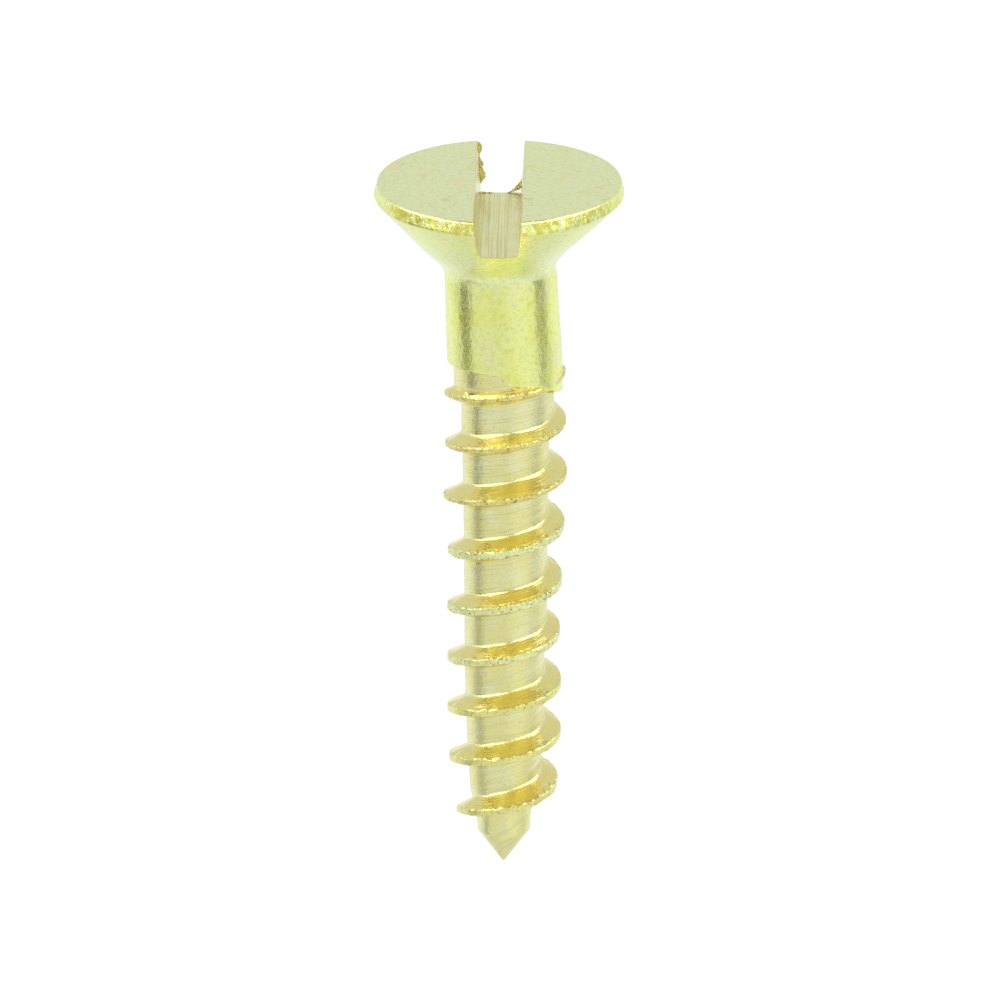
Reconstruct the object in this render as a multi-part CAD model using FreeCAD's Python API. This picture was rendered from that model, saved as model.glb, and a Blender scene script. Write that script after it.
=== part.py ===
import FreeCAD, Part

import math
import os

from FreeCAD import Vector

# Slotted countersunk wood screw, No. 8 x 25 mm, one piece of brass.
#
# Frame: the screw's axis is Z, with +Z out of the head. The origin is the centre of the
# head's flat top, which lies flush with the timber when the screw is driven home.
# The driver slot runs along Y. All lengths are millimetres.
#
# The screw is one piece of metal. Each region of it is a solid of its own, and each
# solid meets its neighbours face to face.

# ---- driving dimensions ---------------------------------------------------------------
LENGTH = 25.0             # flat top of the head to the tip

HEAD_RADIUS = 4.215       # widest part of the head
HEAD_FLAT_RADIUS = 4.095  # flat top, inside the rounded corner
HEAD_CORNER = 0.17        # height of the rounded corner under the flat top
HEAD_LAND = 0.27          # height of the upright band around the rim
SINK_HALF_ANGLE = 43.5    # degrees, between the axis and the countersink
NECK_FILLET = 0.75        # hollow corner between countersink and shank

SLOT_TOP_WIDTH = 1.60     # driver slot, measured at the flat top
SLOT_FLOOR_WIDTH = 1.36   # the slot's walls lean slightly apart
SLOT_DEPTH = 1.55

SHANK_RADIUS = 1.93       # plain cylinder under the head
SHANK_END = 6.30          # depth where the thread cutter starts to bite

RUNOUT_RADIUS = 1.72      # reduced neck left by the cutter
RUNOUT_CHAMFER = 0.15
RUNOUT_SHOULDER = 7.50    # depth where the neck starts to close down to the core
RUNOUT_END = 7.90

CORE_TOP_RADIUS = 1.50    # root of the thread where it starts
CORE_END_RADIUS = 1.17    # root of the thread near the point
CORE_BULGE = 0.07         # how far the core swells outside a straight taper
CORE_END = 22.30

STUB_TOP = 23.20          # short bare stub between the last turn and the point
STUB_RADIUS = 0.92
POINT_TOP = 23.75         # depth where the conical point starts
TIP_RADIUS = 0.08         # blunt end of the point

PITCH = 1.924             # right-hand thread, one start
THREAD_START = 6.70       # depth of the crest where it crosses the +X side
THREAD_LEAD_IN = 70.0     # degrees of thread buried in the shank before that
THREAD_TURNS = 8.72       # from that crossing to the last trace of the ridge
THREAD_LEAD_OUT = 65.0    # degrees over which the ridge sinks into the core
ROOT_WIDTH = 0.95         # width of the ridge at the core
CREST_WIDTH = 0.20        # width of the ridge's top

# depth and outer radius of the thread: the first turns stand proud of the blank
CREST_STATIONS = [(6.0, 2.04), (11.5, 2.06), (13.5, 1.97), (20.5, 1.92), (23.5, 1.68)]

ROOT_OVERLAP = 0.25       # how deep the ridge starts inside the core before it is trimmed
BURIED_HEIGHT = 0.02      # height of the ridge's two ends, deep inside the metal
LEAD_IN_RISE = 90.0       # degrees over which the ridge reaches its full height
SECTIONS = 27             # stretches of the ridge, about a third of a turn each
STEPS_PER_SECTION = 8     # points that guide the helical edges in each stretch


# ---- helpers --------------------------------------------------------------------------
def outline_edges(points):
    """Straight edges joining (radius, depth) points, in the plane y = 0."""
    corners = [Vector(r, 0, -depth) for r, depth in points]
    return [Part.makeLine(a, b) for a, b in zip(corners, corners[1:]) if not a.isEqual(b, 1e-9)]


def arc_edge(start, middle, end):
    """A circular arc through three (radius, depth) points, in the plane y = 0."""
    return Part.Arc(*[Vector(r, 0, -depth) for r, depth in (start, middle, end)]).toShape()


def revolve(edges):
    """The solid swept by a closed outline turning once about the Z axis."""
    face = Part.Face(Part.Wire(Part.__sortEdges__(edges)))
    return face.revolve(Vector(0, 0, 0), Vector(0, 0, 1), 360)


def along(stations, at):
    """The value at one depth, on straight lines between (depth, value) stations."""
    if at <= stations[0][0]:
        return stations[0][1]
    for (d0, v0), (d1, v1) in zip(stations, stations[1:]):
        if at <= d1:
            return v0 + (v1 - v0) * (at - d0) / (d1 - d0)
    return stations[-1][1]


# ---- outlines along the axis ----------------------------------------------------------
def sink_corner():
    """Depth where the countersink would meet the shank without its fillet."""
    drop = (HEAD_RADIUS - SHANK_RADIUS) / math.tan(math.radians(SINK_HALF_ANGLE))
    return HEAD_CORNER + HEAD_LAND + drop


def head_height():
    """Depth where the fillet under the head runs into the shank."""
    return sink_corner() + NECK_FILLET * math.tan(math.radians(SINK_HALF_ANGLE) / 2)


def head_side():
    """Edges of the head from its flat top, around the rim, down to the shank."""
    lean = math.radians(SINK_HALF_ANGLE)
    corner_width = HEAD_RADIUS - HEAD_FLAT_RADIUS
    top = (HEAD_FLAT_RADIUS, 0)
    bulge = (HEAD_FLAT_RADIUS + corner_width * math.sin(math.pi / 4),
             HEAD_CORNER * (1 - math.cos(math.pi / 4)))
    land_top = (HEAD_RADIUS, HEAD_CORNER)
    land_bottom = (HEAD_RADIUS, HEAD_CORNER + HEAD_LAND)

    reach = NECK_FILLET * math.tan(lean / 2)
    fillet_top = (SHANK_RADIUS + reach * math.sin(lean), sink_corner() - reach * math.cos(lean))
    fillet_end = (SHANK_RADIUS, head_height())
    centre_r = SHANK_RADIUS + NECK_FILLET
    fillet_mid = (centre_r - NECK_FILLET * math.cos(lean / 2),
                  head_height() - NECK_FILLET * math.sin(lean / 2))
    return [
        arc_edge(top, bulge, land_top),
        *outline_edges([land_top, land_bottom, fillet_top]),
        arc_edge(fillet_top, fillet_mid, fillet_end),
    ]


def core_side():
    """The core's gently swelling taper."""
    middle = ((CORE_TOP_RADIUS + CORE_END_RADIUS) / 2 + CORE_BULGE, (RUNOUT_END + CORE_END) / 2)
    return arc_edge((CORE_TOP_RADIUS, RUNOUT_END), middle, (CORE_END_RADIUS, CORE_END))


def runout_points():
    return [
        (SHANK_RADIUS, SHANK_END),
        (RUNOUT_RADIUS, SHANK_END + RUNOUT_CHAMFER),
        (RUNOUT_RADIUS, RUNOUT_SHOULDER),
        (CORE_TOP_RADIUS, RUNOUT_END),
    ]


def point_side():
    """The bare stub, the cone and its slightly blunt tip."""
    cone = math.atan2(STUB_RADIUS - TIP_RADIUS, LENGTH - TIP_RADIUS - POINT_TOP)
    tip_centre = LENGTH - TIP_RADIUS
    tangent = (TIP_RADIUS * math.cos(cone), tip_centre + TIP_RADIUS * math.sin(cone))
    half_way = (cone + math.pi / 2) / 2
    rounded = (TIP_RADIUS * math.cos(half_way), tip_centre + TIP_RADIUS * math.sin(half_way))
    return [
        *outline_edges([
            (CORE_END_RADIUS, CORE_END),
            (STUB_RADIUS, STUB_TOP),
            (STUB_RADIUS, POINT_TOP),
            tangent,
        ]),
        arc_edge(tangent, rounded, (0, LENGTH)),
    ]


# ---- regions of the screw -------------------------------------------------------------
def slot_prism():
    """The space of the driver slot: it runs right across the head along Y."""
    top, floor = SLOT_TOP_WIDTH / 2, SLOT_FLOOR_WIDTH / 2
    above = 1.0
    top_above = top + (top - floor) * above / SLOT_DEPTH
    half_run = HEAD_RADIUS + 1.0
    corners = [
        Vector(-top_above, -half_run, above),
        Vector(-floor, -half_run, -SLOT_DEPTH),
        Vector(floor, -half_run, -SLOT_DEPTH),
        Vector(top_above, -half_run, above),
    ]
    face = Part.Face(Part.makePolygon(corners + corners[:1]))
    return face.extrude(Vector(0, 2 * half_run, 0))


def make_head():
    base = outline_edges([(SHANK_RADIUS, head_height()), (0, head_height()), (0, 0), (HEAD_FLAT_RADIUS, 0)])
    return revolve(head_side() + base).cut(slot_prism())


def make_shank():
    return revolve(outline_edges([
        (0, head_height()),
        (SHANK_RADIUS, head_height()),
        (SHANK_RADIUS, SHANK_END),
        (0, SHANK_END),
        (0, head_height()),
    ]))


def make_runout():
    start = (0, SHANK_END)
    return revolve(outline_edges([start, *runout_points(), (0, RUNOUT_END), start]))


def make_core():
    ends = outline_edges([
        (CORE_END_RADIUS, CORE_END),
        (0, CORE_END),
        (0, RUNOUT_END),
        (CORE_TOP_RADIUS, RUNOUT_END),
    ])
    return revolve([core_side(), *ends])


def make_point():
    base = outline_edges([(0, LENGTH), (0, CORE_END), (CORE_END_RADIUS, CORE_END)])
    return revolve(point_side() + base)


def threaded_body():
    """Everything below the head that the ridge is wrapped around, as one solid."""
    top = head_height()
    blank = outline_edges([(0, LENGTH), (0, top), (SHANK_RADIUS, top), (SHANK_RADIUS, SHANK_END)])
    return revolve([*blank, *outline_edges(runout_points()), core_side(), *point_side()])


def core_radius(depth):
    """Radius of the thread's root, used to place the ridge's inner edges."""
    return along([
        (RUNOUT_END, CORE_TOP_RADIUS),
        ((RUNOUT_END + CORE_END) / 2, (CORE_TOP_RADIUS + CORE_END_RADIUS) / 2 + CORE_BULGE),
        (CORE_END, CORE_END_RADIUS),
        (STUB_TOP, STUB_RADIUS),
    ], depth)


def ridge_height(turned, total):
    """Share of the ridge's full height, sinking smoothly to nothing at both ends."""
    rise = min(1.0, turned / math.radians(LEAD_IN_RISE))
    fall = min(1.0, (total - turned) / math.radians(THREAD_LEAD_OUT))
    share = min(rise, fall)
    return share * share * (3 - 2 * share)


def ridge_curves():
    """The ridge's four helical edges: inner upper, outer upper, outer lower, inner lower."""
    lead_in = math.radians(THREAD_LEAD_IN)
    total = lead_in + 2 * math.pi * THREAD_TURNS
    count = SECTIONS * STEPS_PER_SECTION
    rails = [[], [], [], []]
    for i in range(count + 1):
        turned = total * i / count
        angle = lead_in - turned
        depth = THREAD_START - PITCH * angle / (2 * math.pi)
        inner = core_radius(depth) - ROOT_OVERLAP
        full = along(CREST_STATIONS, depth)
        outer = inner + BURIED_HEIGHT + (full - inner - BURIED_HEIGHT) * ridge_height(turned, total)
        flank = (ROOT_WIDTH - CREST_WIDTH) / 2 / (full - core_radius(depth))
        half_in = CREST_WIDTH / 2 + flank * (full - inner)
        half_out = CREST_WIDTH / 2 + flank * (full - outer)
        for rail, (radius, shift) in zip(rails, [
            (inner, -half_in), (outer, -half_out), (outer, half_out), (inner, half_in),
        ]):
            rail.append(Vector(radius * math.cos(angle), radius * math.sin(angle), -depth - shift))
    curves = []
    for rail in rails:
        curve = Part.BSplineCurve()
        curve.interpolate(Points=rail, Parameters=[float(i) for i in range(len(rail))])
        curves.append(curve)
    return curves


def make_thread():
    """The helical ridge, trimmed to the surface it stands on."""
    curves = ridge_curves()
    faces = []
    for section in range(SECTIONS):
        span = (section * STEPS_PER_SECTION, (section + 1) * STEPS_PER_SECTION)
        edges = [curve.toShape(*span) for curve in curves]
        faces += [Part.makeRuledSurface(a, b) for a, b in zip(edges, edges[1:] + edges[:1])]
    for end in (0, SECTIONS * STEPS_PER_SECTION):
        corners = [curve.value(end) for curve in curves]
        faces.append(Part.Face(Part.makePolygon(corners + corners[:1])))
    shell = Part.makeShell(faces)
    shell.sewShape()
    ridge = Part.makeSolid(shell)
    if ridge.Volume < 0:
        ridge.reverse()
    trimmed = ridge.cut(threaded_body())
    return max(trimmed.Solids, key=lambda solid: solid.Volume)


NODES = {
    "head": make_head,
    "shank": make_shank,
    "runout": make_runout,
    "core": make_core,
    "thread": make_thread,
    "point": make_point,
}


def main():
    os.makedirs("parts", exist_ok=True)
    for name, make in NODES.items():
        shape = make()
        solid = shape.Solids[0]
        print(f"{name}: {len(shape.Solids)} solid, valid {solid.isValid()}, "
              f"{solid.Volume:.3f} mm3, {len(solid.Faces)} faces")
        solid.exportStep(f"parts/{name}.step")


main()
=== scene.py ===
import math

import bpy
from mathutils import Matrix, Vector, noise


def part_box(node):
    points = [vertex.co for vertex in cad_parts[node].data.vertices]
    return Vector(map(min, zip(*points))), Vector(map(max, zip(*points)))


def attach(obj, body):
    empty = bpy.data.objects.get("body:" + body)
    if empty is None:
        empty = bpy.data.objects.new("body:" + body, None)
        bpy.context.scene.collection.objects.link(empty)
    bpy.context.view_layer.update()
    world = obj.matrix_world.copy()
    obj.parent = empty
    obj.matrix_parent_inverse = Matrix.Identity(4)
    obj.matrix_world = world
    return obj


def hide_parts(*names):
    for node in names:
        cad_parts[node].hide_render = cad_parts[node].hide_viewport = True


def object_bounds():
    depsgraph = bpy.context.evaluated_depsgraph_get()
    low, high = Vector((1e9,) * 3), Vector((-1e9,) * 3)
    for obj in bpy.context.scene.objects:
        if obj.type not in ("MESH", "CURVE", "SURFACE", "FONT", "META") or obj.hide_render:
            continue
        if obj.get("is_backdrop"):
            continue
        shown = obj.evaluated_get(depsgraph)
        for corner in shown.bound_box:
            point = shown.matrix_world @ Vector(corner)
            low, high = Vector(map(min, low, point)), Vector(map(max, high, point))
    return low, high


# Slotted countersunk wood screw of brass, standing on its point.
#
# Lengths in the shape code are millimetres. A depth is measured down from the head's flat
# top, and an angle is measured from the +X side towards +Y.

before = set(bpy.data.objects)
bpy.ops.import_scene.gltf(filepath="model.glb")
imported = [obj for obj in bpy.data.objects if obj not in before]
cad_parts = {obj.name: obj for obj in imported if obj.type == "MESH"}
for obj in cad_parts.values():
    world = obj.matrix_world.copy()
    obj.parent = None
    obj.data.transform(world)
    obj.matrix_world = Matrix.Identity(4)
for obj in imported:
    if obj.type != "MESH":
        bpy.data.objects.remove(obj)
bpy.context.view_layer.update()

MM = 0.001
TAU = 2 * math.pi

# ---- sizes taken from the CAD parts ---------------------------------------------------
HEAD_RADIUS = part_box("head")[1].x / MM
HEAD_HEIGHT = -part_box("head")[0].z / MM
LENGTH = -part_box("point")[0].z / MM

# ---- head -----------------------------------------------------------------------------
HEAD_FLAT_RADIUS = HEAD_RADIUS - 0.135
RIM_ROUND = 0.035         # small rounding where the flat top meets the rim band
HEAD_CORNER = 0.17        # height of the rounded corner
HEAD_LAND = 0.27          # height of the upright band around the rim
LAND_END = HEAD_CORNER + HEAD_LAND      # depth of the rim band's lower edge
BULGE_INSET = 0.012       # widest place of the rim band: inside the head's full radius
BULGE_RISE = 0.07         # and above the band's end
# rounding under the rim band: (how far below it, how far inside the head's full radius)
LAND_ROUNDING = [(-0.03, 0.003), (0.01, 0.012), (0.05, 0.052), (0.10, 0.100)]
SINK_START = 0.2          # the straight countersink starts this far below the rim band
SINK_SLOPE = math.tan(math.radians(43.5))
NECK_FILLET = 0.75
RIM_DENT_SIZE = 0.012     # height of the dents on the rim band and on the rest of the head
SKIN_DENT_SIZE = 0.003
TOP_DIP = 0.004
SLOT_TOP_HALF = 0.80
SLOT_FLOOR_HALF = 0.68
SLOT_DEPTH = 1.55
SLOT_EDGE = 0.03          # broken edge along the top of the slot
SLOT_LIP_CUT = 0.4        # how freshly cut the slot's top edge looks
SAW_RIPPLE = 0.012
FLOOR_SAG = 0.02
FLOOR_RAGGED = 0.03       # how ragged the ends of the slot's floor are
LOBE_ARC_STEPS = 170
# rows of the head's flat top, as shares of a lobe's outline
LOBE_SCALES = (0.985, 0.93, 0.8, 0.6, 0.4, 0.2)
WALL_STEPS = 44
FLOOR_STEPS = 12

# ---- strength of the painted dents ----------------------------------------------------
RIM_DENTS = 1.3
HEAD_DENTS = [(0.0, 0.40), (0.1, 0.60), (1.2, 0.60), (2.2, 0.44)]
SLOT_DENTS = 0.3
NECK_DENTS = 0.44
NECK_TOP = 2.5            # depth from which the dents grow down the neck
SHANK_DENTS = 0.75
CREST_DENTS = 0.5

# ---- shaft ----------------------------------------------------------------------------
SHANK_SPLIT = 5.2         # depth where the shank's mesh meets the threaded one
SHANK_OVERLAP = 0.02      # the shank's mesh starts this far inside the head
COLUMNS = 320             # mesh columns round the shaft
TURNS = 9
FIRST_TURN = -0.25        # turns; the thread is counted from the +X side, going down
PITCH = 1.924
THREAD_START = 6.70
UPPER_BASE = 0.45         # ridge's width at its root, above and below the crest's middle
LOWER_BASE = 0.35
RIDGE_SLOPES = [(0.5, 1.05), (0.9, 1.7)]    # least steepness of the ridge's sides
ROOT_BLEND = 0.09         # size of the hollow corner at the foot of the ridge
RUNOUT_BLEND = 0.03       # the same on the first turn
LAST_REACH = 0.2          # the last turn's row ends this far below the ridge
EDGE_RAGGED = 0.035       # how far the crest's edges are torn sideways
FIRST_EDGE_RAGGED = 0.022
EDGE_WANDER = 0.02

# stations down the shaft: (depth, value) or (turn, value)
BLANK_RADII = [(3.1, 1.905), (4.4, 1.915), (6.3, 1.955), (8.0, 1.96)]
ROOT_RADII = [(9.5, 1.48), (12.9, 1.425), (15.4, 1.415), (17.4, 1.365), (19.1, 1.345),
              (21.0, 1.26), (22.3, 1.155), (22.9, 0.98), (23.25, 0.925), (23.7, 0.915)]
# how much the groove is shallower where the thread starts
RUNOUT_RISE = [(-0.25, 0.21), (-0.1, 0.40), (0.05, 0.47), (0.2, 0.42), (0.27, 0.36),
               (0.5, 0.25), (0.75, 0.21), (1.0, 0.18), (1.25, 0.08), (1.55, 0.0)]
# how far below an even helix the crest lies
PITCH_DRIFT = [(0, 0.22), (0.5, -0.02), (1, 0.0), (1.5, -0.16), (2, -0.05), (2.5, -0.18),
               (3, -0.06), (3.5, -0.08), (4, 0.03), (4.5, 0.07), (5, 0.02), (5.5, 0.04),
               (6, 0.0), (7, -0.06), (8, -0.15), (8.5, -0.03)]
FRONT_RISE = 0.12         # the turns sit this much higher in front than the even helix
CREST_RADII = [(-0.2, 1.66), (-0.12, 1.82), (-0.03, 2.09), (0.07, 1.95), (0.2, 1.87),
               (0.3, 1.82), (0.38, 1.82), (0.45, 1.93), (0.5, 2.06), (1.5, 2.06),
               (2.5, 2.12), (3.1, 1.98), (3.5, 1.98), (4.0, 1.92), (4.5, 2.0), (5.0, 1.88),
               (5.5, 1.96), (6.0, 1.94), (6.5, 1.97), (7.0, 1.93), (7.5, 1.9), (8.0, 1.84),
               (8.2, 1.85), (8.5, 1.63), (8.7, 0.80)]
CREST_HALVES = [(0, 0.07), (2.4, 0.08), (3.0, 0.13), (7.5, 0.12), (8.0, 0.14), (8.7, 0.08)]
# lower edge of the uncut blank: (degrees going down round the front from +X, depth)
BLANK_EDGE = [(0, 7.50), (26, 7.27), (49, 6.86), (84, 6.60), (93, 6.33), (102, 6.25),
              (133, 6.27), (180, 6.40), (270, 6.50), (300, 6.72), (330, 7.20), (360, 7.50)]
BLANK_EDGE_WIDTH = 0.08   # depth over which the blank's surface gives way to the groove
# sideways shift of the slightly bent shaft
AXIS_SHIFT = [(0.3, 0.0), (1.2, -0.04), (2.2, -0.13), (2.8, -0.06), (3.3, 0.03), (4.2, 0.06),
              (6.3, 0.14), (9.5, 0.15), (15.4, 0.11), (17.4, 0.05), (19.5, 0.05), (22.5, 0.0),
              (25.0, -0.03)]
TIP_RADIUS = 0.08
CONE_TOP = 23.75


# ---- small helpers --------------------------------------------------------------------
def mix(a, b, share):
    return a + (b - a) * share


def smooth(share):
    share = min(1.0, max(0.0, share))
    return share * share * (3 - 2 * share)


def along(stations, at):
    """The value at one place, in straight lines between (place, value) stations."""
    if at <= stations[0][0]:
        return stations[0][1]
    for (a, value_a), (b, value_b) in zip(stations, stations[1:]):
        if at <= b:
            return mix(value_a, value_b, (at - a) / (b - a))
    return stations[-1][1]


def soft_max(a, b, size):
    """The larger value, with the corner between the two rounded over a size."""
    gap = max(size - abs(a - b), 0.0) / size
    return max(a, b) + gap * gap * size / 4


def wobble(x, y, z):
    return noise.noise(Vector((x, y, z)))


def spread(first, last, count):
    return [mix(first, last, i / (count - 1)) for i in range(count)]


def running_lengths(places):
    """Distance travelled along a line of (a, b) places, at each of them."""
    lengths = [0.0]
    for (a, b), (next_a, next_b) in zip(places, places[1:]):
        lengths.append(lengths[-1] + math.hypot(next_a - a, next_b - b))
    return lengths


# ---- mesh building --------------------------------------------------------------------
LAYERS = ("cut", "across", "dents", "burr")


class Shape:
    """Points with painted values, and the faces between them.

    cut: 1 where the metal is freshly cut, 0 on the blank's own surface.
    across: distance travelled across the cutter's marks.
    dents: how strongly the surface is dented; the material also tells the rim, the flat top,
        the sawn slot, the neck and the shank apart by it.
    burr: 1 on torn edges, more on loose slivers.
    """

    def __init__(self):
        self.points, self.faces = [], []
        self.layers = {name: [] for name in LAYERS}

    def point(self, x, y, depth, cut=0.0, across=0.0, dents=1.0, burr=0.0):
        self.points.append((x * MM, y * MM, -depth * MM))
        for name, value in zip(LAYERS, (cut, across, dents, burr)):
            self.layers[name].append(value)
        return len(self.points) - 1

    def face(self, *corners):
        unique = [c for i, c in enumerate(corners) if c != corners[i - 1]]
        if len(unique) > 2:
            self.faces.append(unique)

    def band(self, upper, lower, closed=True):
        """Quads between two rows of the same length."""
        count = len(upper)
        for i in range(count if closed else count - 1):
            j = (i + 1) % count
            self.face(upper[i], lower[i], lower[j], upper[j])

    def fan(self, ring, centre):
        for i, corner in enumerate(ring):
            self.face(ring[i - 1], corner, centre)

    def height(self, corner):
        return self.points[corner][2]

    def zip_columns(self, left, right):
        """Triangles between two columns of points that don't match one to one."""
        i = j = 0
        while i < len(left) - 1 or j < len(right) - 1:
            end_left = i == len(left) - 1
            end_right = j == len(right) - 1
            if end_right or (not end_left and self.height(left[i + 1]) > self.height(right[j + 1])):
                self.face(left[i], left[i + 1], right[j])
                i += 1
            else:
                self.face(left[i], right[j + 1], right[j])
                j += 1

    def build(self, name, material, sharp_degrees=32):
        mesh = bpy.data.meshes.new(name)
        mesh.from_pydata(self.points, [], self.faces)
        for layer, values in self.layers.items():
            mesh.attributes.new(layer, "FLOAT", "POINT").data.foreach_set("value", values)
        mesh.polygons.foreach_set("use_smooth", [True] * len(mesh.polygons))
        mesh.update()
        mesh.set_sharp_from_angle(angle=math.radians(sharp_degrees))
        mesh.materials.append(material)
        piece = bpy.data.objects.new(name, mesh)
        bpy.context.scene.collection.objects.link(piece)
        return piece


# ---- head -----------------------------------------------------------------------------
def sink_point(depth):
    """A (radius, depth) point on the straight countersink."""
    return HEAD_RADIUS - (depth - LAND_END) * SINK_SLOPE, depth


def head_profile():
    """(radius, depth) points down the head's side, and how many lie above the slot's floor."""
    rows = [(HEAD_FLAT_RADIUS + RIM_ROUND * share, RIM_ROUND * share * share) for share in spread(0, 1, 5)]
    edge = rows[-1]
    bulge = (HEAD_RADIUS - BULGE_INSET, LAND_END - BULGE_RISE)
    for share in spread(0, 1, 9)[1:]:
        rows.append((mix(edge[0], bulge[0], share), mix(edge[1], bulge[1], share)))
    rows += [(HEAD_RADIUS - inward, LAND_END + further) for further, inward in LAND_ROUNDING]
    rows += [sink_point(depth) for depth in spread(LAND_END + SINK_START, SLOT_DEPTH, 14)]
    return rows + neck_points(), len(rows)


def neck_points():
    """The rest of the countersink, and the hollow corner that turns into the shank."""
    lean = math.atan(SINK_SLOPE)
    neck = BLANK_RADII[0][1]
    reach = NECK_FILLET * math.tan(lean / 2)
    corner = LAND_END + (HEAD_RADIUS - neck) / SINK_SLOPE
    fillet_top = corner - reach * math.cos(lean)
    rows = [sink_point(depth) for depth in spread(SLOT_DEPTH, fillet_top, 8)[1:]]
    for angle in spread(lean, 0, 10)[1:]:
        radius = neck + NECK_FILLET * (1 - math.cos(angle))
        rows.append((radius, corner + reach - NECK_FILLET * math.sin(angle)))
    return rows


def slot_half(depth):
    half = mix(SLOT_TOP_HALF, SLOT_FLOOR_HALF, depth / SLOT_DEPTH)
    return half + max(0.0, SLOT_EDGE - depth)


def dent_scale(radius, x, y, depth, share):
    """How the shallow dents of tumbling scale the head's radius, most of all on the rim band."""
    strength = RIM_DENT_SIZE * smooth(1 - abs(depth - 0.3) / 0.5) + SKIN_DENT_SIZE
    dented = radius + strength * (wobble(x * 2.6, y * 2.6, depth * 1.3) - 0.35)
    return mix(1.0, dented / radius, share)


def head_dents(depth):
    """Strong dents round the rim, faint ones on the flat top and the countersink."""
    on_rim = smooth((depth - 0.01) / 0.05) * smooth((0.65 - depth) / 0.25)
    return mix(along(HEAD_DENTS, depth), RIM_DENTS, on_rim)


def lobe_loop(shape, side, radius, depth, length):
    """One D-shaped row round a lobe of the head: the arc first, then the slot's wall."""
    half = slot_half(depth)
    start = -math.acos(half / radius)
    loop = []
    for angle in spread(start, -start, LOBE_ARC_STEPS + 1):
        x, y = side * radius * math.cos(angle), side * radius * math.sin(angle)
        edge = smooth(min(abs(angle - start), abs(angle + start)) / 0.05)
        scale = dent_scale(radius, x, y, depth, edge)
        shift = axis_shift(depth) * math.cos(angle) ** 2
        loop.append(shape.point(x * scale + shift, y * scale, depth, 0.0, length, head_dents(depth)))
    end = math.sqrt(radius * radius - half * half)
    cut = 1.0 if depth > 0 else SLOT_LIP_CUT
    for reach in spread(end, -end, WALL_STEPS + 1)[1:-1]:
        x = half + SAW_RIPPLE * wobble(reach * 1.6, depth * 3.0, 7.0 * side)
        loop.append(shape.point(side * x, side * reach, depth, cut, 0.3 * depth, SLOT_DENTS))
    return loop


def lobe_top(shape, side, loop):
    """The flat top of one lobe: rows shrinking towards its middle."""
    middle = side * (SLOT_TOP_HALF + HEAD_FLAT_RADIUS) / 2
    outer = loop
    for scale in LOBE_SCALES:
        inner = []
        for corner in loop:
            x, y = (value / MM for value in shape.points[corner][:2])
            x, y = middle + (x - middle) * scale, y * scale
            dip = TOP_DIP * (1 + wobble(x * 1.1, y * 1.1, 3.0))
            inner.append(shape.point(x, y, dip, dents=head_dents(0)))
        shape.band(inner, outer)
        outer = inner
    shape.fan(outer, shape.point(middle, 0, TOP_DIP, dents=head_dents(0)))


def make_head(material):
    shape = Shape()
    rows, upper_rows = head_profile()
    lengths = running_lengths(rows)
    loops = {1: [], -1: []}
    for (radius, depth), length in zip(rows[:upper_rows], lengths):
        for side in (1, -1):
            loops[side].append(lobe_loop(shape, side, radius, depth, length))
    for side in (1, -1):
        for upper, lower in zip(loops[side], loops[side][1:]):
            shape.band(upper, lower)
        lobe_top(shape, side, loops[side][0])

    floor = slot_floor(shape, loops, rows[upper_rows - 1][0])
    right, left = (loops[side][-1][:LOBE_ARC_STEPS + 1] for side in (1, -1))
    back = [column[0] for column in floor[1:-1]]
    front = [column[-1] for column in reversed(floor[1:-1])]
    ring = right + back + left + front
    for (radius, depth), length in zip(rows[upper_rows:], lengths[upper_rows:]):
        lower = full_ring(shape, radius, depth, length)
        shape.band(ring, lower)
        ring = lower
    shape.fan(ring, shape.point(0, 0, HEAD_HEIGHT))
    return shape.build("countersunk_head", material)


def slot_floor(shape, loops, radius):
    """Columns of points across the slot's floor, each running from the back to the front."""
    right, left = loops[1][-1], loops[-1][-1]
    columns = [[*right[LOBE_ARC_STEPS:], right[0]]]
    for x in spread(SLOT_FLOOR_HALF, -SLOT_FLOOR_HALF, FLOOR_STEPS + 1)[1:-1]:
        reach = math.sqrt(radius * radius - x * x)
        column = []
        for share in spread(1, -1, WALL_STEPS + 1):
            sag = FLOOR_SAG * (1 - (x / SLOT_FLOOR_HALF) ** 2)
            sag += SAW_RIPPLE * wobble(x * 4, share * 2.5, 1.5)
            ragged = FLOOR_RAGGED * wobble(x * 7, share * 2.0, 9.0) if abs(share) == 1 else 0.0
            y = share * (reach - ragged)
            column.append(shape.point(x, y, SLOT_DEPTH + sag, 1.0, 0.7 * x, SLOT_DENTS))
        columns.append(column)
    columns.append([left[0], *reversed(left[LOBE_ARC_STEPS:])])
    for a, b in zip(columns, columns[1:]):
        shape.band(a, b, closed=False)
    return columns


def full_ring(shape, radius, depth, length):
    """One row round the whole head below the slot, point for point under the row above it."""
    start = -math.acos(SLOT_FLOOR_HALF / radius)
    corners = []
    for side in (1, -1):
        for angle in spread(start, -start, LOBE_ARC_STEPS + 1):
            corners.append((side * radius * math.cos(angle), side * radius * math.sin(angle)))
        for x in spread(SLOT_FLOOR_HALF, -SLOT_FLOOR_HALF, FLOOR_STEPS + 1)[1:-1]:
            corners.append((side * x, side * math.sqrt(radius * radius - x * x)))
    edge = smooth((depth - SLOT_DEPTH) / 0.3) * smooth((HEAD_HEIGHT - depth) / 0.3)
    whole = smooth((depth - SLOT_DEPTH) / 1.0)
    dents = head_dents(depth) if depth < NECK_TOP else shank_dents(depth)
    ring = []
    for x, y in corners:
        scale = dent_scale(radius, x, y, depth, edge)
        shift = axis_shift(depth) * mix((x / radius) ** 2, 1.0, whole)
        ring.append(shape.point(x * scale + shift, y * scale, depth, 0.0, length, dents))
    return ring


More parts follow.
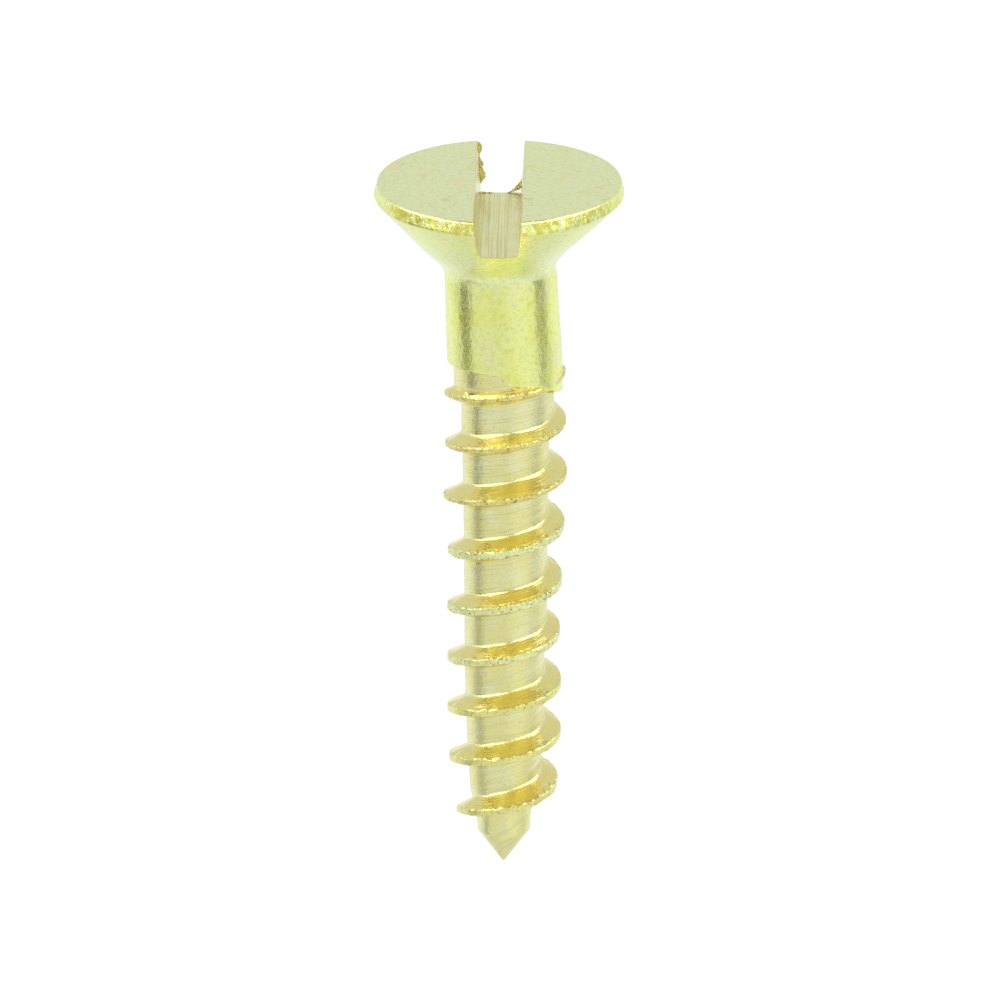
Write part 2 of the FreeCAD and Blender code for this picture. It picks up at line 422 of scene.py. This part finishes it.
# ---- torn burrs at the slot's back end ------------------------------------------------
BURR_SIDES = 10
BURR_STEPS = 6            # rings for each place along a burr
BURR_SHARP_DEGREES = 60
SLIVER_BURR = 1.8         # painted burr value of the loose slivers
# each burr: (x, y, depth, thickness) places along it
BURRS = {
    "wall": [(-0.79, 4.02, 0.05, 0.02), (-0.74, 3.99, 0.14, 0.09), (-0.73, 3.90, 0.30, 0.08),
             (-0.76, 3.82, 0.44, 0.03), (-0.74, 3.74, 0.56, 0.04), (-0.69, 3.66, 0.70, 0.11),
             (-0.70, 3.58, 0.84, 0.07), (-0.66, 3.48, 1.00, 0.13), (-0.67, 3.38, 1.14, 0.09),
             (-0.69, 3.28, 1.28, 0.02)],
    "web": [(0.20, 3.12, 1.57, 0.015), (0.36, 3.13, 1.53, 0.05), (0.52, 3.16, 1.46, 0.09),
            (0.64, 3.22, 1.37, 0.12), (0.70, 3.30, 1.24, 0.05), (0.71, 3.36, 1.14, 0.015)],
    "floor": [(-0.67, 3.10, 1.52, 0.02), (-0.60, 3.10, 1.53, 0.05), (-0.48, 3.11, 1.56, 0.025),
              (-0.36, 3.12, 1.55, 0.045), (-0.22, 3.12, 1.57, 0.01)],
}


def burr_ring(shape, place, step, seed):
    """One lumpy, squashed ring of a burr."""
    x, y, depth, size = place
    ring = []
    for side in range(BURR_SIDES):
        angle = TAU * side / BURR_SIDES
        lump = size * (1 + 0.5 * wobble(step * 2.1, math.cos(angle) * 1.5, seed + math.sin(angle) * 1.5))
        ring.append(shape.point(x + lump * math.cos(angle), y + 0.5 * lump * math.sin(angle),
                                depth + 0.4 * lump * math.sin(2 * angle), 1.0, step, burr=SLIVER_BURR))
    return ring


def make_burrs(material):
    """Crumpled slivers of metal: lumpy tubes along a few places each."""
    shape = Shape()
    for seed, places in enumerate(BURRS.values()):
        rings = []
        for step in spread(0, len(places) - 1, BURR_STEPS * len(places)):
            index = min(int(step), len(places) - 2)
            share = smooth(step - index)
            place = [mix(a, b, share) for a, b in zip(places[index], places[index + 1])]
            rings.append(burr_ring(shape, place, step, seed))
        for upper, lower in zip(rings, rings[1:]):
            shape.band(lower, upper)
        shape.faces.append(rings[0])
        shape.faces.append(rings[-1][::-1])
    return shape.build("slot_burrs", material, BURR_SHARP_DEGREES)


# ---- shank ----------------------------------------------------------------------------
def shank_dents(depth):
    return mix(NECK_DENTS, SHANK_DENTS, smooth((depth - NECK_TOP) / 1.4))


def axis_shift(depth):
    return along(AXIS_SHIFT, depth)


def blank_radius(angle, depth):
    """The plain shank: a slight flare with shallow upright dents."""
    x, y = math.cos(angle), math.sin(angle)
    dents = 0.010 * wobble(x * 3.2, y * 3.2, depth * 0.5)
    dents += 0.005 * wobble(x * 7.5, y * 7.5, depth * 0.9)
    return along(BLANK_RADII, depth) + dents * smooth((depth - HEAD_HEIGHT) / 0.4)


def turned_angle(turn):
    """The thread winds down to the right: the angle falls as the turns are counted."""
    return -TAU * turn


def make_shank(material):
    shape = Shape()
    start = HEAD_HEIGHT - SHANK_OVERLAP
    rings = []
    for depth in spread(start, SHANK_SPLIT, 44):
        ring = []
        for column in range(COLUMNS):
            angle = turned_angle(FIRST_TURN + column / COLUMNS)
            radius = blank_radius(angle, depth)
            x = radius * math.cos(angle) + axis_shift(depth)
            ring.append(shape.point(x, radius * math.sin(angle), depth, dents=shank_dents(depth)))
        rings.append(ring)
    for upper, lower in zip(rings, rings[1:]):
        shape.band(lower, upper)
    shape.fan(rings[-1], shape.point(axis_shift(SHANK_SPLIT), 0, SHANK_SPLIT))
    shape.fan(rings[0][::-1], shape.point(axis_shift(HEAD_HEIGHT), 0, start))
    return shape.build("plain_shank", material)


# ---- threaded shaft -------------------------------------------------------------------
def crest_depth(turn):
    even = THREAD_START + PITCH * turn + along(PITCH_DRIFT, turn)
    return even + FRONT_RISE * math.sin(turned_angle(turn))


def root_radius(depth):
    """Radius between the turns, then the bare stub, the cone and its rounded tip."""
    if depth < CONE_TOP:
        return along(ROOT_RADII, depth)
    stub = ROOT_RADII[-1][1]
    centre = LENGTH - TIP_RADIUS
    cone = math.atan2(stub - TIP_RADIUS, centre - CONE_TOP)
    touch = centre + TIP_RADIUS * math.sin(cone)
    if depth < touch:
        return mix(stub, TIP_RADIUS * math.cos(cone), (depth - CONE_TOP) / (touch - CONE_TOP))
    return math.sqrt(max(0.0, TIP_RADIUS ** 2 - (depth - centre) ** 2))


def base_surface(angle, depth, groove_turn):
    """(radius, cut) of the shaft without its ridge, in the groove above one turn."""
    blank = blank_radius(angle, depth)
    root = root_radius(depth) + along(RUNOUT_RISE, groove_turn)
    turned = math.degrees(-angle) % 360
    edge = along(BLANK_EDGE, turned) + 0.03 * wobble(math.cos(angle) * 6, math.sin(angle) * 6, 2.0)
    share = smooth((depth - edge) / BLANK_EDGE_WIDTH)
    lumps = 0.006 * wobble(math.cos(angle) * 3, math.sin(angle) * 3, depth * 1.1)
    fade = smooth((LENGTH - depth) / 0.6)
    return mix(blank, root + lumps * fade, share), smooth(share * 2)


def ridge_offsets(above, below, half_crest):
    """Where a row samples one pitch, from groove to groove, relative to the crest's middle."""
    edge = 0.018
    foot, fillet = UPPER_BASE + 0.10, UPPER_BASE - 0.10
    upper = [*spread(-above, -foot, 8), *spread(-foot, -fillet, 7)[1:]]
    upper += spread(-fillet, -half_crest - edge, 5)[1:]
    crest = [-half_crest + edge, -half_crest / 2, 0.0, half_crest / 2, half_crest - edge]
    foot, fillet = LOWER_BASE + 0.09, LOWER_BASE - 0.07
    lower = [*spread(half_crest + edge, fillet, 5), *spread(fillet, foot, 6)[1:]]
    lower += spread(foot, below, 8)[1:]
    return upper + crest + lower


def torn_edges(turn):
    """How far the crest's upper and lower edges are pushed down, or up if negative."""
    ragged = EDGE_RAGGED if turn > 2.5 else FIRST_EDGE_RAGGED
    upper = ragged * wobble(turn * 55, 0.5, 1.0) + EDGE_WANDER * wobble(turn * 11, 4.0, 1.0)
    lower = ragged * wobble(turn * 55, 8.5, 6.0) + EDGE_WANDER * wobble(turn * 11, 9.0, 1.0)
    return upper, lower


def ridge_row(turn, last):
    """(angle, depth, radius, cut, burr) points across one pitch at one place of the thread."""
    angle = turned_angle(turn)
    centre = crest_depth(turn)
    above = centre - (centre + crest_depth(turn - 1)) / 2
    below = LOWER_BASE + LAST_REACH if last else (centre + crest_depth(turn + 1)) / 2 - centre
    half = along(CREST_HALVES, turn)
    upper_edge, lower_edge = torn_edges(turn)
    crest_radius = along(CREST_RADII, turn) + 0.012 * wobble(turn * 6, 2.0, 3.0)
    crest_radius += 0.010 * wobble(turn * 40, 5.0, 3.0)
    blend = mix(RUNOUT_BLEND, ROOT_BLEND, smooth((turn - 0.5) / 0.4))
    torn = mix(1.0, 0.5, smooth((turn - 5) / 1.5))
    fresh_crest = 1.0 - smooth((turn - 2.4) / 0.5) * mix(1.0, 0.4, smooth((turn - 5) / 1.2))
    row = []
    for offset in ridge_offsets(above, below, half):
        depth = centre + offset
        passed = turn + smooth((offset + UPPER_BASE) / (UPPER_BASE + LOWER_BASE))
        base, cut = base_surface(angle, depth, passed)
        outside = max(0.0, abs(offset) - half)
        base_half = UPPER_BASE if offset < 0 else LOWER_BASE
        slope = max(along(RIDGE_SLOPES, turn), (crest_radius - root_radius(depth)) / (base_half - half))
        ridge = crest_radius - outside * slope
        if abs(offset) <= half:
            ridge += 0.014 * wobble(turn * 95, offset * 14, 0.0)
        shift = upper_edge if offset < 0 else lower_edge
        moved = depth + shift * smooth(1 - abs(abs(offset) - half) / 0.16)
        radius = soft_max(base, ridge, blend) if ridge > base - blend else base
        burr = 0.0
        if ridge > base:
            cut = fresh_crest if outside == 0 else 1.0
            burr = torn * smooth(1 - (abs(offset) - half) / 0.05) * smooth((ridge - base) / 0.08)
        row.append((angle, moved, radius, cut, burr))
    return row


def across_lengths(row):
    """Distance of each point from the nearer groove, measured over the ridge."""
    lengths = running_lengths([point[1:3] for point in row])
    return [min(length, lengths[-1] - length) for length in lengths]


def shaft_points(turn):
    """(angle, depth, radius, cut, burr, across) points down one column of the threaded shaft."""
    angle = turned_angle(turn)
    rows = [ridge_row(turn + k, k == TURNS - 1) for k in range(TURNS)]
    first, last = rows[0][0][1], rows[-1][-1][1]
    points = []
    for depth in spread(SHANK_SPLIT, first, 34)[:-1]:
        radius, cut = base_surface(angle, depth, turn)
        points.append((angle, depth, radius, cut, 0.0, 0.0))
    for row in rows:
        skip = 0 if row is rows[0] else 1
        points += [(*point, across) for point, across in list(zip(row, across_lengths(row)))[skip:]]
    for share in spread(0, 1, 30)[1:-1]:
        depth = mix(last, LENGTH, 1 - (1 - share) ** 1.5)
        radius, cut = base_surface(angle, depth, TURNS)
        points.append((angle, depth, radius, cut, 0.0, 0.2 * (depth - last)))
    return points


def make_threaded_shaft(material):
    shape = Shape()
    columns = []
    for index in range(COLUMNS):
        column = []
        for angle, depth, radius, cut, burr, across in shaft_points(FIRST_TURN + index / COLUMNS):
            x = radius * math.cos(angle) + axis_shift(depth)
            dents = mix(shank_dents(depth), CREST_DENTS, burr)
            column.append(shape.point(x, radius * math.sin(angle), depth, cut, across, dents, burr))
        columns.append(column)
    for left, right in zip(columns, columns[1:]):
        shape.band(left, right, closed=False)
    shape.zip_columns(columns[-1], columns[0])
    top = [column[0] for column in reversed(columns)]
    tip = [column[-1] for column in columns]
    shape.fan(top, shape.point(axis_shift(SHANK_SPLIT), 0, SHANK_SPLIT))
    shape.fan(tip, shape.point(axis_shift(LENGTH), 0, LENGTH, 1.0))
    return shape.build("threaded_shaft", material)


# ---- materials ------------------------------------------------------------------------
class Nodes:
    """Short way to add shader nodes and join them up."""

    def __init__(self, name):
        self.material = bpy.data.materials.new(name)
        self.material.use_nodes = True
        self.tree = self.material.node_tree
        self.shader = self.tree.nodes["Principled BSDF"]

    def set(self, socket, value):
        if isinstance(value, bpy.types.NodeSocket):
            self.tree.links.new(value, socket)
        else:
            socket.default_value = value

    def add(self, kind, inputs, output=0, **settings):
        node = self.tree.nodes.new(kind)
        for key, value in settings.items():
            setattr(node, key, value)
        for key, value in inputs.items():
            self.set(node.inputs[key], value)
        return node.outputs[output]

    def math(self, operation, a, b=0.0):
        return self.add("ShaderNodeMath", {0: a, 1: b}, operation=operation)

    def product(self, a, b):
        return self.math("MULTIPLY", a, b)

    def noise(self, vector, scale, detail, roughness):
        inputs = {"Vector": vector, "Scale": scale, "Detail": detail, "Roughness": roughness}
        return self.add("ShaderNodeTexNoise", inputs)

    def split(self, vector):
        node = self.tree.nodes.new("ShaderNodeSeparateXYZ")
        self.set(node.inputs[0], vector)
        return node.outputs

    def scaled(self, vector, x, y, z):
        return self.add("ShaderNodeVectorMath", {0: vector, 1: (x, y, z)}, operation="MULTIPLY")

    def ramp(self, value, low, high, to_low=0.0, to_high=1.0):
        """Eases from to_low to to_high while the value goes from low to high."""
        inputs = {"Value": value, "From Min": low, "From Max": high, "To Min": to_low, "To Max": to_high}
        return self.add("ShaderNodeMapRange", inputs, clamp=True, interpolation_type="SMOOTHSTEP")

    def mix(self, share, a, b, kind="MIX"):
        return self.add("ShaderNodeMixRGB", {"Fac": share, "Color1": a, "Color2": b}, blend_type=kind)

    def attribute(self, name):
        return self.add("ShaderNodeAttribute", {}, output=2, attribute_name=name)


BUMP_STRENGTH = 0.8
BUMP_DISTANCE = 0.00008
PER_METRE = 1000          # the patterns are sized in millimetres
BLANK_TINT = (0.97, 0.99, 0.42, 1)
BLANK_YELLOW = (0.97, 0.96, 0.33, 1)
BLANK_PINK = (0.98, 0.92, 0.50, 1)
BLANK_PALE = (0.95, 0.96, 0.61, 1)
BLANK_DARK = (0.72, 0.74, 0.30, 1)
CUT_TINT = (0.95, 0.86, 0.42, 1)
# pale patches on the cut metal: partly a random tone, partly painted highlight
CUT_PALE_TONE_AND_HIGHLIGHT = (0.96, 0.90, 0.54, 1)
CUT_DARK = (0.70, 0.61, 0.30, 1)
# deeper yellow of the thread's flanks: a painted reflection of light bounced between the turns
FLANK_PAINTED_BOUNCE_TINT = (0.95, 0.81, 0.335, 1)
BURR_DARK = (0.42, 0.38, 0.16, 1)
# painted reflections on the rim band: a gold painted sheen and white painted glints
RIM_PAINTED_GOLD_REFLECTION = (0.80, 0.70, 0.15, 1)
RIM_PAINTED_WHITE_GLINT = (1.0, 1.0, 0.66, 1)
MOTTLE = (0.84, 0.80, 0.62, 1)
FLANK = (0.50, 0.62)      # distance from the groove over which the ridge's flank begins


def cutter_lines(n, place, across, dents):
    """Marks left by the cutter and the saw; they follow the thread and the slot."""
    x, y, z = n.split(place)
    run = n.ramp(dents, 0.7, 0.4, 0.6, 0.09)
    line_place = n.add("ShaderNodeCombineXYZ", {
        "X": n.product(x, run),
        "Y": n.product(y, run),
        "Z": n.math("ADD", n.product(across, 18.0), n.product(z, 1.3)),
    })
    return n.noise(line_place, 1.0, 4.0, 0.65)


def blank_colour(n, place, dents, flakes, blotches):
    """Skin of the blank: paler where it is smooth, with blotches and dark flakes elsewhere; the rim band
    gets painted reflections.
    """
    smooth_skin = n.ramp(dents, 0.72, 0.42, 0.0, 0.9)
    rough_skin = n.ramp(dents, 0.45, 0.75)
    blank = n.mix(smooth_skin, BLANK_TINT, BLANK_PALE)
    blank = n.mix(n.product(rough_skin, n.ramp(blotches, 0.45, 0.62)), blank, BLANK_YELLOW)
    blank = n.mix(n.ramp(blotches, 0.48, 0.36, 0.0, 0.75), blank, BLANK_PINK)
    blank = n.mix(n.product(dents, n.ramp(flakes, 0.42, 0.25, 0.0, 0.5)), blank, BLANK_DARK)
    # the rim band gets painted reflections: gold sheen and white glints
    return rim_painted_reflections(n, place, dents, blank)


def rim_painted_reflections(n, place, dents, blank):
    """Painted reflections on the rim band: gold streaks and white painted glints, strongest in front and
    behind.
    """
    facing = n.ramp(n.math("ABSOLUTE", n.split(place)[1]), 0.6, 3.2, 0.25, 1.0)
    rim = n.product(n.ramp(dents, 0.9, 1.25), facing)
    streaks = n.noise(n.scaled(place, 1.0, 1.0, 0.5), 4.6, 4.0, 0.65)
    blank = n.mix(n.product(rim, n.ramp(streaks, 0.58, 0.42)), blank, RIM_PAINTED_GOLD_REFLECTION)
    return n.mix(n.product(rim, n.ramp(streaks, 0.52, 0.64)), blank, RIM_PAINTED_WHITE_GLINT)


def mottled(n, place, dents, blank):
    """Fine mottle all over the blank, and thin curved scratches on the head's flat top."""
    mottle = n.noise(place, 6.5, 4.0, 0.75)
    curve = n.math("ABSOLUTE", n.math("SUBTRACT", n.noise(place, 0.55, 2.0, 0.4), 0.5))
    scratch = n.product(n.ramp(curve, 0.008, 0.002), n.ramp(dents, 0.5, 0.42))
    marks = n.math("MAXIMUM", n.ramp(mottle, 0.46, 0.64, 0.0, 0.85), scratch)
    return n.mix(n.product(marks, 0.75), blank, n.mix(1.0, blank, MOTTLE, "MULTIPLY"))


def cut_colour(n, across, dents, lines, grain, blotches):
    """Freshly cut metal: pale patches, partly painted highlight; deeper yellow on the thread's flanks, a
    painted reflection of light bounced between the turns; darker in the cutter's lines.
    """
    # pale patches, partly a random tone and partly painted highlight
    fresh = n.mix(n.ramp(blotches, 0.4, 0.6), CUT_TINT, CUT_PALE_TONE_AND_HIGHLIGHT)
    # painted reflection: the flanks made deeper yellow, as light bounced between the turns would
    fresh = n.mix(n.ramp(across, *FLANK), fresh, FLANK_PAINTED_BOUNCE_TINT)
    fresh = n.mix(n.ramp(grain, 0.54, 0.80, 0.0, 0.7), fresh, CUT_DARK)
    sawn = n.ramp(dents, 0.7, 0.4, 0.36, 1.0)
    return n.mix(n.product(sawn, n.ramp(lines, 0.52, 0.38, 0.0, 0.9)), fresh, CUT_DARK)


def brass(name):
    """Brass whose painted layers say where it is the blank's skin and where it is cut."""
    n = Nodes(name)
    place = n.add("ShaderNodeTexCoord", {}, output=3)
    place = n.scaled(place, PER_METRE, PER_METRE, PER_METRE)
    cut, across, dents, burr = (n.attribute(layer) for layer in LAYERS)
    lines = cutter_lines(n, place, across, dents)
    flakes = n.noise(n.scaled(place, 1.0, 1.0, 0.55), 5.6, 5.0, 0.66)
    grain = n.noise(place, 11.0, 3.0, 0.6)
    blotches = n.noise(place, 1.1, 3.0, 0.55)
    speckle = n.noise(place, 9.0, 2.0, 0.7)

    blank = mottled(n, place, dents, blank_colour(n, place, dents, flakes, blotches))
    fresh = cut_colour(n, across, dents, lines, grain, blotches)
    torn = n.product(burr, n.ramp(speckle, 0.54, 0.68))
    torn = n.math("MAXIMUM", torn, n.math("SUBTRACT", burr, 1.0))
    n.set(n.shader.inputs["Base Color"], n.mix(torn, n.mix(cut, blank, fresh), BURR_DARK))
    n.set(n.shader.inputs["Metallic"], 1.0)

    blank_rough = n.ramp(flakes, 0.3, 0.7, 0.05, 0.11)
    cut_rough = n.product(n.ramp(grain, 0.3, 0.7, 0.12, 0.24), n.ramp(across, *FLANK, 1.0, 0.45))
    n.set(n.shader.inputs["Roughness"], n.mix(cut, blank_rough, cut_rough))

    pits = n.math("ADD", n.product(flakes, 0.46), n.product(grain, 0.12))
    cut_height = n.math("ADD", n.product(lines, 0.16), n.product(grain, n.ramp(across, *FLANK, 0.24, 0.08)))
    height = n.mix(cut, n.product(dents, pits), cut_height)
    height = n.math("ADD", height, n.product(burr, n.product(speckle, 0.9)))
    inputs = {"Height": height, "Strength": BUMP_STRENGTH, "Distance": BUMP_DISTANCE}
    n.set(n.shader.inputs["Normal"], n.add("ShaderNodeBump", inputs))
    return n.material


# ---- stage, lights and camera ---------------------------------------------------------
FLOOR_HALF_SIZE = 2.0
FLOOR_GLOW = 0.95
TENT_RADIUS = 0.45
TENT_TINT = (0.93, 1.0, 0.91)
TENT_COLUMNS = 120
TENT_ROWS = 90
CARD_DISTANCE = 0.04
CARD_SPLIT = -0.0225      # height where the upper cards end and the lower one starts
# upright cards: name, azimuth and width in degrees, glow, lower and upper height in metres
CARDS = [
    ("flag_left", -79, 17, 0.05, CARD_SPLIT, 0.0),
    ("flag_left_low", -80, 22, 0.45, -0.06, CARD_SPLIT),
    ("flag_right", 84, 15, 0.22, CARD_SPLIT, 0.0),
]


def direction(azimuth, elevation):
    """Unit vector towards two angles in radians; azimuth 0 is in front, a quarter turn is +X."""
    level = math.cos(elevation)
    return Vector((math.sin(azimuth) * level, -math.cos(azimuth) * level, math.sin(elevation)))


def glowing(name, glow):
    """A stage material that shines by itself; glow is a strength or a painted layer's name."""
    material = bpy.data.materials.new(name)
    material.use_nodes = True
    tree = material.node_tree
    tree.nodes.clear()
    shader = tree.nodes.new("ShaderNodeEmission")
    shader.inputs["Color"].default_value = (*TENT_TINT, 1)
    if isinstance(glow, str):
        layer = tree.nodes.new("ShaderNodeAttribute")
        layer.attribute_name = glow
        tree.links.new(layer.outputs["Fac"], shader.inputs["Strength"])
    else:
        shader.inputs["Strength"].default_value = glow
    output = tree.nodes.new("ShaderNodeOutputMaterial")
    tree.links.new(shader.outputs[0], output.inputs["Surface"])
    return material


def add_stage(name, corners, faces, material):
    mesh = bpy.data.meshes.new(name)
    mesh.from_pydata(corners, [], faces)
    mesh.materials.append(material)
    prop = bpy.data.objects.new(name, mesh)
    bpy.context.scene.collection.objects.link(prop)
    prop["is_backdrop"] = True
    return prop


def only_reflected(prop):
    """Seen in the metal's reflections and nowhere else."""
    prop.visible_camera = False
    prop.visible_diffuse = False
    prop.visible_shadow = False


def make_floor(height):
    s = FLOOR_HALF_SIZE
    corners = [(-s, -s, height), (s, -s, height), (s, s, height), (-s, s, height)]
    material = bpy.data.materials.new("floor_paper")
    material.use_nodes = True
    shader = material.node_tree.nodes["Principled BSDF"]
    shader.inputs["Base Color"].default_value = (0.1, 0.1, 0.1, 1)
    shader.inputs["Roughness"].default_value = 0.9
    shader.inputs["Specular IOR Level"].default_value = 0.0
    shader.inputs["Emission Color"].default_value = (1, 1, 1, 1)
    shader.inputs["Emission Strength"].default_value = FLOOR_GLOW
    floor = add_stage("floor", corners, [(0, 1, 2, 3)], material)
    floor.visible_glossy = False


def window(value, low, high, edge):
    """1 between low and high, easing to 0 outside them."""
    return smooth((value - low) / edge + 0.5) * smooth((high - value) / edge + 0.5)


def tent_glow(azimuth, elevation):
    """Brightness of the tent in one direction; azimuth 0 is in front, 90 on the +X side."""
    turned = abs(azimuth)
    # below: a touch brighter to the right of the front and behind; another level far down
    boost = mix(0.04, 0.16, smooth((elevation + 52) / 18))
    floor = 0.79 + 0.10 * window(azimuth, 15, 70, 20) + boost * smooth((turned - 105) / 20)
    far_down = mix(0.86, 0.74, smooth((turned - 70) / 40))
    floor = mix(floor, far_down, smooth((-52 - elevation) / 12))
    # above: two strong side lights, a softer back and a dim rest
    sides = mix(0.98, 2.5, smooth((elevation - 8) / 30)) * window(turned, 16, 112, 8)
    back = 0.76 * smooth((turned - 104) / 12)
    glow = mix(floor, max(sides, back, 0.45), smooth((elevation + 3) / 6))
    # the dim strip round the camera, and the dim top
    glow = mix(glow, 0.50, window(turned, -1, 11, 5) * window(elevation, -6, 50, 6))
    return mix(glow, 0.32, smooth((elevation - 54) / 8))


def make_tent():
    """A closed tent of lit paper round the object, painted with its brightness."""
    corners, faces, glow = [], [], []
    for row in range(TENT_ROWS + 1):
        elevation = -90 + 180 * row / TENT_ROWS
        for column in range(TENT_COLUMNS):
            azimuth = -180 + 360 * column / TENT_COLUMNS
            corners.append(direction(math.radians(azimuth), math.radians(elevation)) * TENT_RADIUS)
            glow.append(tent_glow(azimuth, elevation))
    for row in range(TENT_ROWS):
        for column in range(TENT_COLUMNS):
            a = row * TENT_COLUMNS + column
            b = row * TENT_COLUMNS + (column + 1) % TENT_COLUMNS
            faces.append((a, b, b + TENT_COLUMNS, a + TENT_COLUMNS))
    tent = add_stage("tent", corners, faces, glowing("tent_paper", "glow"))
    tent.data.attributes.new("glow", "FLOAT", "POINT").data.foreach_set("value", glow)
    only_reflected(tent)


def make_card(name, azimuth, width, glow, low, high):
    """An upright card that darkens one side's reflections."""
    a = math.radians(azimuth)
    centre = direction(a, 0) * CARD_DISTANCE
    sideways = Vector((math.cos(a), math.sin(a), 0)) * CARD_DISTANCE * math.tan(math.radians(width / 2))
    corners = []
    for sign, height in ((-1, low), (1, low), (1, high), (-1, high)):
        corners.append(centre + sideways * sign + Vector((0, 0, height)))
    only_reflected(add_stage(name, corners, [(0, 1, 2, 3)], glowing(name, glow)))


def make_world():
    world = bpy.data.worlds.new("studio")
    world.use_nodes = True
    background = world.node_tree.nodes["Background"]
    background.inputs["Color"].default_value = (1.0, 1.0, 1.0, 1)
    background.inputs["Strength"].default_value = 1.0
    bpy.context.scene.world = world


VIEW_AZIMUTH = math.radians(1.1)
VIEW_ELEVATION = math.radians(22.06)
VIEW_ROLL = math.radians(0.45)
VIEW_DISTANCE = 0.2929
VIEW_TARGET = (-0.057 * MM, 0.0, -11.558 * MM)
VIEW_LENS = 309.6
SENSOR_WIDTH = 36.0


def make_camera():
    data = bpy.data.cameras.new("camera")
    data.lens = VIEW_LENS
    data.sensor_width = SENSOR_WIDTH
    data.clip_start, data.clip_end = 0.01, 20.0
    camera = bpy.data.objects.new("camera", data)
    back = direction(VIEW_AZIMUTH, VIEW_ELEVATION)
    right = Vector((math.cos(VIEW_AZIMUTH), math.sin(VIEW_AZIMUTH), 0))
    right = Matrix.Rotation(-VIEW_ROLL, 3, back) @ right
    up = back.cross(right)
    place = Vector(VIEW_TARGET) + back * VIEW_DISTANCE
    axes = Matrix((right, up, back)).transposed().to_4x4()
    camera.matrix_world = Matrix.Translation(place) @ axes
    bpy.context.scene.collection.objects.link(camera)
    bpy.context.scene.camera = camera


# ---- the scene ------------------------------------------------------------------------
blank_brass = brass("blank_brass")
cut_brass = brass("cut_brass")

PIECES = [
    (make_head(blank_brass), ["head"], "blank_brass"),
    (make_burrs(cut_brass), [], "cut_brass"),
    (make_shank(blank_brass), ["shank"], "blank_brass"),
    (make_threaded_shaft(cut_brass), ["runout", "core", "thread", "point"], "cut_brass"),
]
for piece, nodes, slot_name in PIECES:
    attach(piece, "root")
    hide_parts(*nodes)

make_floor(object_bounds()[0].z)
for card in CARDS:
    make_card(*card)
make_tent()
make_world()
make_camera()
bpy.context.scene.view_settings.view_transform = "Standard"
